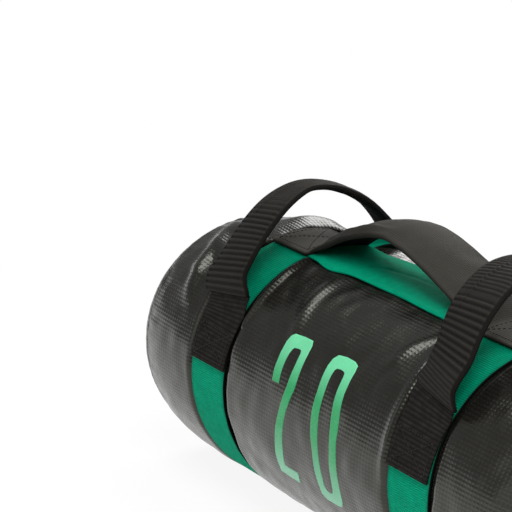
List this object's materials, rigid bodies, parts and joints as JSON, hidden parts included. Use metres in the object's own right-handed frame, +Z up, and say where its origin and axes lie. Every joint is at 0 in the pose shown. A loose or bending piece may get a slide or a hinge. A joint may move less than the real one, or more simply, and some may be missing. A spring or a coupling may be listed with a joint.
{
  "type": "sandbag trainer",
  "caption": "Cylindrical sand-filled training weight in coated fabric, with webbing straps round and along it, two upright side handles with ribbed grips and a low centre handle.",
  "frame": {"origin": "on the floor under the middle of the bag, at the bottom centre of its bounding box", "axes": "+X along the bag's axis toward its right-hand end as seen from the printed front, +Y toward the back, +Z up"},
  "size_m": [0.505, 0.19, 0.2273],
  "materials": {
    "coated_fabric": "satin PVC coating over a scrim",
    "green_webbing": "woven, matte",
    "black_webbing": "woven, matte",
    "handle_fabric": "woven, folded and sewn flat",
    "binding_tape": "woven, matte",
    "thread": "polyester sewing thread",
    "foam": "closed-cell foam",
    "woven_sack": "woven polypropylene",
    "sand": "dry packed sand",
    "nylon_tie": "moulded nylon"
  },
  "bodies": {
    "bag": {"bag_skin": "coated_fabric", "foam_liner": "foam", "end_panel_left": "coated_fabric", "end_binding_left": "binding_tape", "foam_disc_left": "foam", "sand_sack_left": "woven_sack", "sand_fill_left": "sand", "sack_tie_left": "nylon_tie", "ring_strap_left": "green_webbing", "end_panel_right": "coated_fabric", "end_binding_right": "binding_tape", "foam_disc_right": "foam", "sand_sack_right": "woven_sack", "sand_fill_right": "sand", "sack_tie_right": "nylon_tie", "ring_strap_right": "green_webbing", "spine_strap": "green_webbing", "left_handle_tab_front": "black_webbing", "left_handle_tab_back": "black_webbing", "left_handle_stitches_front": "thread", "left_handle_stitches_back": "thread", "right_handle_tab_front": "black_webbing", "right_handle_tab_back": "black_webbing", "right_handle_stitches_front": "thread", "right_handle_stitches_back": "thread", "centre_handle_patch_left": "handle_fabric", "centre_handle_patch_right": "handle_fabric", "centre_handle_stitches_left": "thread", "centre_handle_stitches_right": "thread"},
    "left_handle": {"left_handle_flex_front": "black_webbing", "left_handle_flex_back": "black_webbing", "left_handle_loop": "black_webbing", "left_handle_grip_sleeve": "black_webbing"},
    "right_handle": {"right_handle_flex_front": "black_webbing", "right_handle_flex_back": "black_webbing", "right_handle_loop": "black_webbing", "right_handle_grip_sleeve": "black_webbing"},
    "centre_handle": {"centre_handle_flex_left": "handle_fabric", "centre_handle_flex_right": "handle_fabric", "centre_handle_loop": "handle_fabric"}
  },
  "joints": [
    {"name": "left_handle_swing", "type": "hinge", "parent": "bag", "child": "left_handle", "pos_m": [-0.1375, 0, 0.1558], "axis": [0, 1, 0], "range_deg": [-32, 25], "stiffness_Nm_per_rad": 0.15, "deforming": ["left_handle_flex_front", "left_handle_flex_back"]},
    {"name": "right_handle_swing", "type": "hinge", "parent": "bag", "child": "right_handle", "pos_m": [0.1375, 0, 0.1558], "axis": [0, -1, 0], "range_deg": [-32, 25], "stiffness_Nm_per_rad": 0.15, "deforming": ["right_handle_flex_front", "right_handle_flex_back"]},
    {"name": "centre_handle_swing", "type": "hinge", "parent": "bag", "child": "centre_handle", "pos_m": [0, 0, 0.18565], "axis": [1, 0, 0], "range_deg": [-35, 35], "stiffness_Nm_per_rad": 0.1, "deforming": ["centre_handle_flex_left", "centre_handle_flex_right"]}
  ]
}
